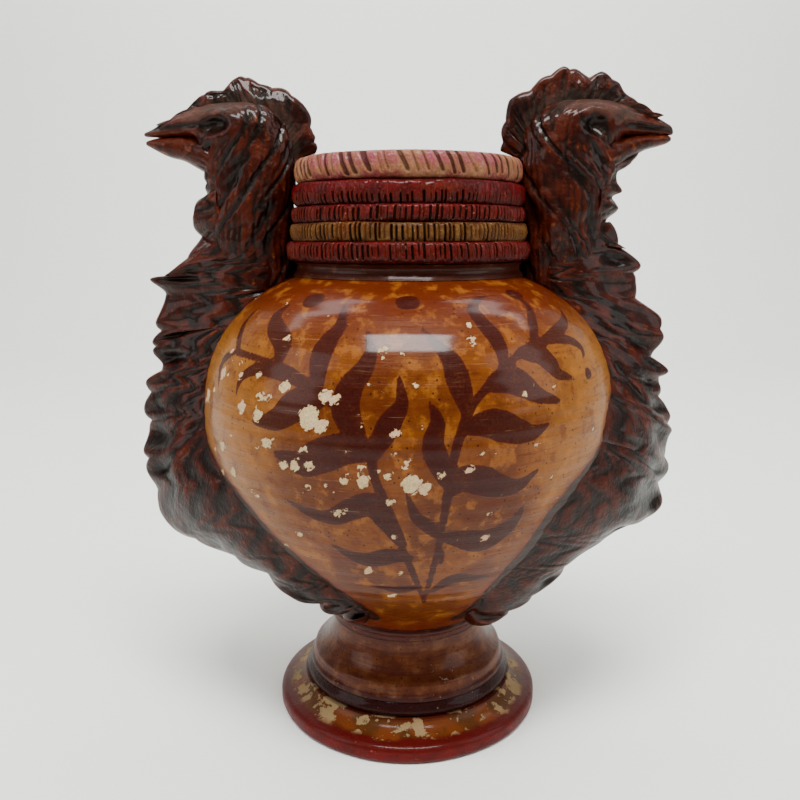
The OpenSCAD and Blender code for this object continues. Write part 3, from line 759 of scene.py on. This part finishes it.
# %% Manes
# Each row: the root's turn to the front in degrees and its height, the edge's turn, radius and
# height, and half the width of the root
RIGHT_MANE = [
    (0, 270, 0, 108, 275, 16), (0, 262, 0, 117, 262, 20), (0, 253, 0, 127, 251, 23),
    (0, 245, 0, 124.5, 242, 24), (0, 237, 0, 130, 232, 24), (1, 229, 0, 140, 223, 23),
    (2, 221, 0, 141.5, 213, 22), (3, 212, 0, 135.5, 204, 21), (4, 203, 0, 144.5, 193.5, 21),
    (5, 195, 0, 139.5, 187, 21), (6, 186, 0, 143.5, 179, 22), (8, 176, 0, 148, 169, 25),
    (12, 167, 0, 146, 160, 30), (16, 160, 1, 144, 153, 34), (19, 151, 2, 146.5, 140, 34),
    (25, 143, 3, 142.5, 131, 34), (33, 135, 6, 140, 122, 33), (40, 127, 10, 130, 116, 31),
    (43, 119, 15, 119.5, 112, 28), (46, 111, 21, 108, 107, 25), (49, 103, 29, 97, 102, 22),
    (51, 96, 34, 91, 94, 20), (53, 89, 40, 83.5, 84.5, 17), (56, 82, 45, 78, 76.5, 14),
    (59, 77, 51, 73.5, 72.5, 11), (64, 74, 59, 68.5, 72, 7),
]
LEFT_MANE = [
    (0, 268, 0, 111, 268, 16), (0, 261, 0, 121, 257, 20), (0, 253, 0, 128.5, 248, 23),
    (0, 246, 0, 139.5, 244.5, 24), (0, 238, 0, 136, 236, 24), (1, 230, 0, 138.5, 224, 23),
    (1, 221, 0, 141, 213, 22), (2, 213, 0, 143.5, 206, 20), (2, 205, 0, 136.5, 197.5, 19),
    (2, 197, 0, 143, 190, 18), (3, 188, 0, 146.8, 181.5, 18), (4, 178, 0, 148.6, 170, 19),
    (5, 169, 0, 147, 161, 21), (6, 160, 1, 146.5, 151, 23), (9, 151, 2, 145.5, 141, 26),
    (15, 142, 3, 143, 130, 28), (24, 134, 6, 138, 116, 29), (31, 126, 12, 124, 106, 29),
    (37, 118, 22, 109, 103, 27), (43, 110, 30, 100, 99, 25), (49, 103, 38, 93, 95.5, 22),
    (54, 96, 46, 86.5, 90.5, 19), (59, 90, 53, 81, 84.5, 17), (64, 84, 60, 76.5, 79.5, 14),
    (68, 80, 66, 72.5, 76, 11), (72, 77, 72, 68.5, 75, 7),
]


def around(r, turn, z):
    """A point at a radius and a height, turned from the bird's side to the front."""
    return r * math.cos(math.radians(turn)), -r * math.sin(math.radians(turn)), z


def sunk(z, half):
    """Radius of a root's middle, deep enough for both sides of the root to meet the belly."""
    r = float(belly_r(min(z, SHOULDER)))
    return r - 3 - half * half / (2 * r)


# Radius of a root inside the bird's neck, and half the thickness of a pinched edge
INSIDE_NECK = 70
PINCHED_HALF = 4.0


def ribbon(rows):
    """Stations of a mane, with its root sunk in the belly, and in the bird's neck above the shoulder."""
    made = []
    for turn, z, edge_turn, edge_r, edge_z, half in rows:
        above = float(rise(z, 205, 240))
        r = sunk(z, half) * (1 - above) + INSIDE_NECK * above
        places = (*around(r, turn, z), *around(edge_r, edge_turn, edge_z))
        made.append((*places, half, PINCHED_HALF, ROOT_CAP + 0.4 * above))
    return made


for name, side, rows, seed in (("left", -1, LEFT_MANE, 511), ("right", 1, RIGHT_MANE, 611)):
    shape = fin(ribbon(rows), side, 0.6, 6.0, seed, dents=3.4, drop=6.0, scallop=4.0, luted=True)
    sheet(name + "_bird_mane_glazed", name + "_bird_mane", 420, 130, shape)

# %% [markdown]
# ## Where the manes meet the belly
# A warm halo of glaze and a dark line of painted shade in the crease follow the foot of each mane.
# Every point of the belly stores its distance from the nearest edge of a mane's root.

# %% Seams on the belly
# Share of a root's half-width that the mane surely hides
UNDER_MANE = 0.78
points = points_of(belly)
seam = np.full(len(points), -20.0)
for side, rows in ((-1, LEFT_MANE), (1, RIGHT_MANE)):
    stations = ribbon(rows)
    middle = curve(stations, np.linspace(0, len(stations) - 1, 160))
    middle[:, 0] *= side
    stretch = belly_r(np.minimum(middle[:, 2], SHOULDER)) / np.hypot(middle[:, 0], middle[:, 1])
    middle[:, :2] *= stretch[:, None]
    gap = np.linalg.norm(points[:, None] - middle[None, :, :3], axis=2)
    seam = np.maximum(seam, (middle[None, :, 6] * UNDER_MANE - gap).max(axis=1))
seam += 1.6 * lumps(points, 7, 17) + 1.0 * lumps(points, 2.5, 18)
mark(belly, "seam", seam)
print("points near a mane:", int((seam > -2).sum()))

# %% [markdown]
# ## Glazes as wired nodes
# A glaze is built from shader nodes. A small class holds one output of a node, and lets it be added,
# multiplied or compared as a plain number is, so a recipe reads like a sum. Every recipe below works
# in mm, in the object's own space, so the marks stay on the clay from any side. A dark, saturated glaze
# needs a weak and slightly warm reflection, or the pale room would turn it grey.

# %% Wires
class Wire:
    """One output of a shader node."""

    def __init__(self, tree, socket):
        self.tree = tree
        self.socket = socket

    def node(self, kind, settings=None, sockets=None, out=0):
        """Adds any node: settings are its own values, and sockets are its inputs by name or number."""
        made = self.tree.nodes.new(kind)
        for key, value in (settings or {}).items():
            setattr(made, key, value)
        for key, value in (sockets or {}).items():
            if isinstance(value, Wire):
                self.tree.links.new(value.socket, made.inputs[key])
            else:
                made.inputs[key].default_value = value
        return Wire(self.tree, made.outputs[out])

    def math(self, operation, *values):
        return self.node("ShaderNodeMath", {"operation": operation}, dict(enumerate(values)))

    def __add__(self, other):
        return self.math("ADD", self, other)

    def __radd__(self, other):
        return self.math("ADD", other, self)

    def __sub__(self, other):
        return self.math("SUBTRACT", self, other)

    def __rsub__(self, other):
        return self.math("SUBTRACT", other, self)

    def __mul__(self, other):
        return self.math("MULTIPLY", self, other)

    def __rmul__(self, other):
        return self.math("MULTIPLY", other, self)

    def __gt__(self, other):
        return self.math("GREATER_THAN", self, other)

    def size(self):
        return self.math("ABSOLUTE", self)

    def step(self, start, end):
        """0 before start, 1 after end, and smooth between them."""
        values = {"Value": self, "From Min": start, "From Max": end}
        return self.node("ShaderNodeMapRange", {"interpolation_type": "SMOOTHSTEP"}, values)

    def blend(self, a, b):
        """Colour a where this wire is 0, and colour b where it is 1."""
        return self.node("ShaderNodeMix", {"data_type": "RGBA"}, {0: self, 6: a, 7: b}, 2)

    def stretch(self, x, y, z):
        return self.node("ShaderNodeVectorMath", {"operation": "MULTIPLY"}, {0: self, 1: (x, y, z)})

    def noise(self, size, detail=3.0, rough=0.55):
        values = {"Vector": self, "Scale": 1 / size, "Detail": detail, "Roughness": rough}
        return self.node("ShaderNodeTexNoise", None, values)

    def cells(self, size, out=0):
        """Distance to the nearest seed of a pattern of cells, or with out=1 each cell's own colour."""
        return self.node("ShaderNodeTexVoronoi", None, {"Vector": self, "Scale": 1 / size}, out)

    def fact(self, name):
        """A number stored on the points of the piece."""
        return self.node("ShaderNodeAttribute", {"attribute_name": name}, None, 2)

    def axis(self, name):
        return self.node("ShaderNodeSeparateXYZ", None, {0: self}, "XYZ".index(name))


def rgb(r, g, b):
    """A colour from the 0 to 255 values of a paint chart."""
    return tuple((v / 255) ** 2.2 for v in (r, g, b)) + (1.0,)


GLAZE_SHINE = 0.08
GLAZE_TINT = (1.0, 0.75, 0.55, 1.0)


def glaze(name, recipe, coat_rough=0.08):
    """A glazed surface: recipe(mm) gives the wires of its colour, roughness, coat and height in mm."""
    material = bpy.data.materials.new(name)
    material.use_nodes = True
    tree = material.node_tree
    shader = tree.nodes["Principled BSDF"]
    shader.inputs["Specular IOR Level"].default_value = GLAZE_SHINE
    shader.inputs["Specular Tint"].default_value = GLAZE_TINT
    shader.inputs["Coat Roughness"].default_value = coat_rough
    start = Wire(tree, tree.nodes.new("ShaderNodeTexCoord").outputs["Object"])
    mm = start.stretch(1 / MM, 1 / MM, 1 / MM)
    made = recipe(mm)
    tree.links.new(made["color"].socket, shader.inputs["Base Color"])
    tree.links.new(made["rough"].socket, shader.inputs["Roughness"])
    tree.links.new(made["coat"].socket, shader.inputs["Coat Weight"])
    bump = mm.node("ShaderNodeBump", None, {"Height": made["height"], "Distance": MM})
    tree.links.new(bump.socket, shader.inputs["Normal"])
    material.diffuse_color = (0.5, 0.3, 0.2, 1)
    print(name, "nodes:", len(tree.nodes))
    return material


# %% [markdown]
# ## The belly's glaze
# A thin amber glaze over a pale body: browner in the middle, more golden towards the sides, redder at
# the top, and dark where it ran and gathered at the bottom. Iron specks came up through it in the kiln. The
# leaves were painted in a purple-brown that thins at the edges, and flakes show the cream body.

# %% Amber glaze with painted leaves
def amber(mm):
    streak = mm.stretch(0.06, 0.06, 1.1).noise(1.3, 4.0, 0.65)
    cloud = mm.noise(34, 4.0)
    patch = mm.noise(9, 4.0, 0.6)
    grain = mm.noise(1.1, 3.0, 0.7)
    z = mm.axis("Z")
    aside = mm.axis("X").size()
    ground = cloud.step(0.4, 0.6).blend(rgb(78, 37, 9), rgb(102, 55, 16))
    ground = (aside + 26 * cloud).step(50, 108).blend(ground, rgb(130, 82, 30))
    ground = (z + 14 * patch).step(216, 246).blend(ground, rgb(81, 33, 8))
    ground = ((streak - 0.5) * 1.6 + 0.3).step(0.3, 0.85).blend(ground, rgb(75, 28, 5))
    ground = (patch.step(0.52, 0.66) * 0.45).blend(ground, rgb(146, 90, 36))
    ground = ((0.46 - patch).step(0.0, 0.1) * 0.5).blend(ground, rgb(76, 26, 5))
    ground = (1 - (z + 16 * patch).step(66, 92)).blend(ground, rgb(86, 28, 4))
    pool = mm.stretch(1, 1, 0.5).noise(6, 3.0)
    ground = ((1 - (z + 20 * pool).step(64, 78)) * pool.step(0.45, 0.6) * 0.8).blend(ground, rgb(48, 12, 3))
    seam = mm.fact("seam")
    halo = (seam + 5 * patch).step(-5, 1.5)
    ground = (halo * 0.7).blend(ground, rgb(84, 30, 6))
    speck_at = mm.cells(3.3)
    chosen = mm.cells(3.3, out=1).axis("X")
    speck = (1 - speck_at.step(0.1, 0.2)) * (chosen > 0.42)
    fine_at = mm.cells(1.5)
    fine = (1 - fine_at.step(0.12, 0.3)) * (mm.cells(1.5, out=1).axis("Y") > 0.62)
    ground = (speck * 0.85).blend(ground, rgb(25, 7, 3))
    ground = (fine * 0.45).blend(ground, rgb(40, 14, 4))
    paint = mm.fact("paint") + (grain - 0.5) * 0.7
    leaf = (aside + 20 * cloud).step(20, 105).blend(rgb(45, 7, 5), rgb(56, 24, 14))
    leaf = ((streak - 0.5) * 1.5 + patch * 0.8).step(0.3, 0.8).blend(leaf, rgb(55, 18, 9))
    leaf = ((1 - paint.step(0.0, 1.6)) * 0.35).blend(leaf, rgb(68, 23, 8))
    leaf = (speck * 0.5).blend(leaf, rgb(20, 4, 3))
    mask = paint.step(-0.25, 0.3)
    color = (mask * (0.86 + 0.14 * grain.step(0.3, 0.6))).blend(ground, leaf)
    # A dark line of painted shade along the crease where a mane meets the belly; the same mask sinks a slight
    # groove in the height
    crease_shade_line = seam.step(-1.8, -0.4)
    color = (crease_shade_line * 0.9).blend(color, rgb(26, 9, 4))
    corner = mm.cells(1.7, out=1).axis("X")
    wear = mm.fact("wear") + (corner - 0.5) * 1.5 + (grain - 0.5) * 1.4
    lost = wear.step(0.0, 0.18)
    rim = wear.step(-0.7, 0.0) - lost
    body = grain.step(0.35, 0.65).blend(rgb(192, 171, 131), rgb(168, 141, 101))
    body = (patch.step(0.5, 0.62) * 0.6).blend(body, rgb(182, 141, 120))
    color = (rim * 0.45).blend(color, rgb(82, 36, 18))
    color = lost.blend(color, body)
    scratch = mm.stretch(0.12, 0.12, 3.0).noise(2.2, 2.0)
    color = (scratch.step(0.68, 0.74) * 0.14).blend(color, rgb(190, 154, 104))
    rough = 0.24 + 0.16 * patch + 0.16 * scratch.step(0.6, 0.7) + 0.4 * lost
    coat = 0.26 - 0.24 * lost - 0.1 * halo
    relief = 0.3 * streak + 0.12 * grain + 0.4 * mm.noise(14, 2.0) - 0.5 * lost + 0.06 * mask - 0.9 * crease_shade_line
    return {"color": color, "rough": rough, "coat": coat, "height": relief}


ochre_glaze = glaze("ochre_glaze", amber, coat_rough=0.13)

# %% [markdown]
# ## Red, gold and rose glazes of the collar
# Each roll was brushed with one colour. The cuts are painted nearly black as shade, with bare ground
# at their edges where the brush missed, and the high spots wore down to a tan ground. The top roll is
# a thin rose over a sandy body. The foot is brown with a crimson plinth, and the gold of its groove has
# flaked.

# %% Collar and foot glazes
def brushed(main, deep, worn, bare, bare_share, bands, gap=0.95):
    """Recipe for one brushed colour over a tan ground; bands are (from, to, colour) over the roll, and
    gap is how dark the painted shade in the cuts is. The ring on the foot is darker than the collar."""
    def recipe(mm):
        patch = mm.noise(8, 4.0, 0.6)
        grain = mm.noise(1.3, 3.0, 0.65)
        wide = mm.noise(26, 2.0)
        level = mm.fact("level") + (patch - 0.5) * 0.5
        color = patch.step(0.35, 0.65).blend(main, deep)
        for start, end, tone in bands:
            part = level.step(start - 0.12, start + 0.12) * (1 - level.step(end - 0.12, end + 0.12))
            color = (part * (0.45 + 0.5 * grain)).blend(color, tone)
        missed = (wide + 0.35 * (patch - 0.5)).step(bare_share - 0.05, bare_share + 0.06)
        color = (missed * 0.85).blend(color, bare)
        color = (grain.step(0.5, 0.68) * 0.6).blend(color, worn)
        cut = mm.fact("cut")
        # The cuts are painted nearly black as shade, and their edges show bare ground
        shade = (cut + 0.2 * (grain - 0.5)).step(0.18, 0.5)
        color = ((cut + 0.1 * grain).step(0.06, 0.16) * (1 - shade) * 0.6).blend(color, bare)
        color = (shade * gap).blend(color, rgb(18, 11, 7))
        foot = 1 - mm.axis("Z").step(60, 90)
        color = (foot * 0.9).blend(color, rgb(34, 6, 9))
        color = ((mm.noise(2.4, 2.0) - 0.02).step(0.7, 0.74) * 0.8).blend(color, rgb(144, 114, 77))
        rough = 0.26 + 0.2 * patch + 0.25 * shade
        relief = 1.1 * grain + 0.6 * patch - 0.4 * shade
        return {"color": color, "rough": rough, "coat": 0.16 - 0.14 * shade, "height": relief}
    return recipe


crimson_glaze = glaze("crimson_glaze", brushed(
    rgb(77, 7, 13), rgb(52, 4, 8), rgb(105, 21, 24), rgb(89, 31, 16), 0.68,
    ((-1.2, -0.55, rgb(32, 6, 9)),),
))
gold_glaze = glaze("gold_glaze", brushed(
    rgb(91, 62, 29), rgb(73, 44, 20), rgb(112, 89, 51), rgb(85, 44, 19), 0.6,
    ((0.75, 1.3, rgb(53, 17, 15)),),
))
rose_glaze = glaze("rose_glaze", brushed(
    rgb(132, 63, 74), rgb(118, 60, 59), rgb(154, 99, 97), rgb(132, 91, 62), 0.55,
    ((-1.3, -0.35, rgb(94, 37, 22)), (-0.5, 0.0, rgb(128, 80, 51))),
    gap=0.75,
))


def stem_recipe(mm):
    patch = mm.noise(9, 4.0, 0.6)
    grain = mm.noise(1.2, 3.0, 0.7)
    streak = mm.stretch(0.07, 0.07, 1.2).noise(2, 4.0, 0.6)
    z = mm.axis("Z")
    color = patch.step(0.36, 0.62).blend(rgb(75, 36, 22), rgb(95, 52, 30))
    color = (streak.step(0.5, 0.66) * 0.6).blend(color, rgb(64, 29, 27))
    purple = (1 - (z + 5 * patch).step(28, 32)) * 0.85
    color = purple.blend(color, rgb(47, 12, 16))
    luting = (z + 4 * patch).step(BAND_LOW - 2.5, BAND_LOW + 2.5) * (1 - z.step(BASE + 20, BASE + 24))
    color = (luting * 0.8).blend(color, rgb(61, 31, 30))
    bead = z.step(BASE + 120, BASE + 124)
    color = (bead * 0.9).blend(color, rgb(52, 21, 16))
    color = ((patch - grain * 0.2).step(0.46, 0.52) * 0.25).blend(color, rgb(110, 78, 54))
    speck = (1 - mm.cells(2.8).step(0.1, 0.24)) * (mm.cells(2.8, out=1).axis("X") > 0.5)
    color = (speck * 0.7).blend(color, rgb(23, 11, 8))
    flake = (mm.noise(5, 3.0, 0.7) + 0.2 * mm.noise(40, 1.0)).step(0.79, 0.81)
    color = (flake * 0.9).blend(color, rgb(136, 114, 91))
    rough = 0.27 + 0.2 * patch + 0.3 * flake
    relief = 0.4 * streak + 0.3 * grain + 0.5 * mm.noise(11, 2.0) - 0.6 * flake
    return {"color": color, "rough": rough, "coat": 0.18 - 0.16 * flake, "height": relief}


def plinth_recipe(mm):
    patch = mm.noise(8, 4.0, 0.6)
    grain = mm.noise(1.2, 3.0, 0.7)
    z = mm.axis("Z") + (patch - 0.5) * 2.2
    color = patch.step(0.35, 0.65).blend(rgb(89, 12, 14), rgb(72, 11, 11))
    color = (z.step(5.5, 8.5) * 0.8).blend(color, rgb(67, 15, 14))
    band = z.step(10.2, 11.4)
    tone = mm.noise(16, 3.0).step(0.42, 0.58).blend(rgb(74, 44, 20), rgb(98, 50, 22))
    color = band.blend(color, tone)
    dark = band * z.step(15, 16.2)
    color = (dark * 0.6).blend(color, rgb(66, 18, 20))
    corner = mm.cells(1.9, out=1).axis("X")
    loss = (mm.noise(13, 2.0) + 0.5 * (mm.noise(3.6, 3.0, 0.7) - 0.5) + 0.06 * corner).step(0.565, 0.58)
    loss = loss * band
    nick = (mm.noise(5, 3.0, 0.7) + 0.05 * corner).step(0.705, 0.72) * (1 - band)
    color = (grain.step(0.55, 0.7) * 0.3).blend(color, rgb(110, 30, 26))
    color = (nick * 0.8).blend(color, rgb(126, 48, 38))
    color = (loss * 0.95).blend(color, rgb(140, 116, 82))
    rough = 0.3 + 0.22 * patch + 0.3 * loss
    relief = 0.4 * grain + 0.6 * mm.noise(12, 2.0) - 0.6 * loss - 0.3 * nick
    return {"color": color, "rough": rough, "coat": 0.15 - 0.13 * loss, "height": relief}


tan_glaze = glaze("tan_glaze", stem_recipe, coat_rough=0.15)
plinth_glaze = glaze("plinth_glaze", plinth_recipe, coat_rough=0.15)

# %% [markdown]
# ## The birds' glaze
# A thick, dark red-brown glaze ran off the ridges, which show orange, and lay nearly black in the
# lines. A faint grey bloom on the crests and around the brows is partly old dust and partly a painted
# sheen of the light from above.

# %% Dark red-brown glaze
def bird_recipe(mm):
    patch = mm.noise(12, 4.0, 0.6)
    grain = mm.noise(1.6, 4.0, 0.7)
    fleck = mm.noise(4.2, 3.0, 0.65)
    cut = mm.fact("cut")
    color = patch.step(0.38, 0.66).blend(rgb(36, 10, 6), rgb(62, 21, 8))
    color = ((fleck - 0.6 * cut).step(0.5, 0.66) * 0.5).blend(color, rgb(101, 43, 12))
    color = ((fleck * 0.5 + grain * 0.5 - 0.7 * cut).step(0.56, 0.66) * 0.4).blend(color, rgb(140, 73, 25))
    color = (cut.step(0.15, 0.65) * 0.9).blend(color, rgb(10, 5, 3))
    # Grey bloom: partly old dust, partly a painted sheen of the light from above
    dust_and_sheen = (mm.fact("dust_and_sheen") + 1.1 * (fleck - 0.5) + 0.7 * (patch - 0.5)).step(0.25, 0.95)
    bloom_and_sheen = (dust_and_sheen + (patch - 0.56).step(0.0, 0.16) * 0.15) * (1 - 0.6 * cut)
    color = (bloom_and_sheen * 0.4).blend(color, rgb(72, 62, 56))
    rough = 0.16 + 0.2 * patch + 0.32 * dust_and_sheen + 0.12 * grain
    relief = 0.5 * grain + 1.1 * mm.noise(6, 3.0) + 0.3 * fleck
    return {"color": color, "rough": rough, "coat": 0.2 - 0.16 * dust_and_sheen, "height": relief}


bird_glaze = glaze("bird_glaze", bird_recipe, coat_rough=0.1)

# %% Glazes on the pieces
GLAZES = {
    "ochre_glaze": ochre_glaze,
    "crimson_glaze": crimson_glaze,
    "gold_glaze": gold_glaze,
    "rose_glaze": rose_glaze,
    "tan_glaze": tan_glaze,
    "plinth_glaze": plinth_glaze,
    "bird_glaze": bird_glaze,
}
glazed = [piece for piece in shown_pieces() if piece.get("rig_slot")]
for piece in glazed:
    piece.data.materials.append(GLAZES[piece["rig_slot"]])
print("glazed pieces:", len(glazed))

# %% [markdown]
# ## Floor, light and camera
# The vase stands on a pale sheet that curves up behind it. One lamp hangs above and in front, one fills
# from each side, and one lights the sheet behind. The camera looks slightly down from close by.

# %% Stage
sheet_mesh = bmesh.new()
FLAT_END = 1.2
BEND = 0.8
profile = [(-3.0, 0.0), (FLAT_END, 0.0)]
for angle in np.linspace(0.1, math.pi / 2, 14):
    profile.append((FLAT_END + BEND * math.sin(angle), BEND - BEND * math.cos(angle)))
profile.append((FLAT_END + BEND, 4.0))
row = [sheet_mesh.verts.new((-4, y, z)) for y, z in profile]
edges = [sheet_mesh.edges.new((a, b)) for a, b in zip(row, row[1:])]
moved = bmesh.ops.extrude_edge_only(sheet_mesh, edges=edges)["geom"]
bmesh.ops.translate(sheet_mesh, vec=(8, 0, 0), verts=[v for v in moved if isinstance(v, bmesh.types.BMVert)])
bmesh.ops.recalc_face_normals(sheet_mesh, faces=sheet_mesh.faces[:])
for face in sheet_mesh.faces:
    face.smooth = True
floor_data = bpy.data.meshes.new("floor_sheet")
sheet_mesh.to_mesh(floor_data)
sheet_mesh.free()
floor = bpy.data.objects.new("floor_sheet", floor_data)
bpy.context.scene.collection.objects.link(floor)
paper = bpy.data.materials.new("floor_paper")
paper.use_nodes = True
paper.node_tree.nodes["Principled BSDF"].inputs["Base Color"].default_value = rgb(236, 238, 233)
paper.node_tree.nodes["Principled BSDF"].inputs["Roughness"].default_value = 0.75
floor.data.materials.append(paper)


def lamp(name, at, toward, wide, tall, power):
    """A flat lamp that faces a point."""
    data = bpy.data.lights.new(name, "AREA")
    data.shape = "RECTANGLE"
    data.size = wide
    data.size_y = tall
    data.energy = power
    made = bpy.data.objects.new(name, data)
    bpy.context.scene.collection.objects.link(made)
    made.location = at
    made.rotation_mode = "QUATERNION"
    made.rotation_quaternion = (Vector(toward) - Vector(at)).to_track_quat("-Z", "Y")
    return made


lamp("lamp_above", (0.0, -0.55, 1.5), (0, 0, 0.2), 0.9, 0.36, 40)
lamp("lamp_left", (-1.4, -0.6, 0.9), (0, 0, 0.2), 0.9, 1.2, 10)
lamp("lamp_right", (1.4, -0.5, 0.9), (0, 0, 0.2), 0.9, 1.2, 10)
lamp("lamp_backdrop", (0.0, 0.7, 1.9), (0, 2.0, 0.5), 3.0, 0.8, 60)
world = bpy.data.worlds.new("studio")
world.use_nodes = True
world.node_tree.nodes["Background"].inputs["Color"].default_value = rgb(238, 240, 238)
world.node_tree.nodes["Background"].inputs["Strength"].default_value = 0.42
bpy.context.scene.world = world

# %% Camera
camera_data = bpy.data.cameras.new("camera")
camera_data.lens = 36.45
camera_data.sensor_width = 36
camera = bpy.data.objects.new("camera", camera_data)
bpy.context.scene.collection.objects.link(camera)
camera.location = (-0.0045, -0.4465, 0.268)
camera.rotation_euler = (math.radians(90 - 11.52), 0, 0)
bpy.context.scene.camera = camera
print("camera height in m:", camera.location.z)
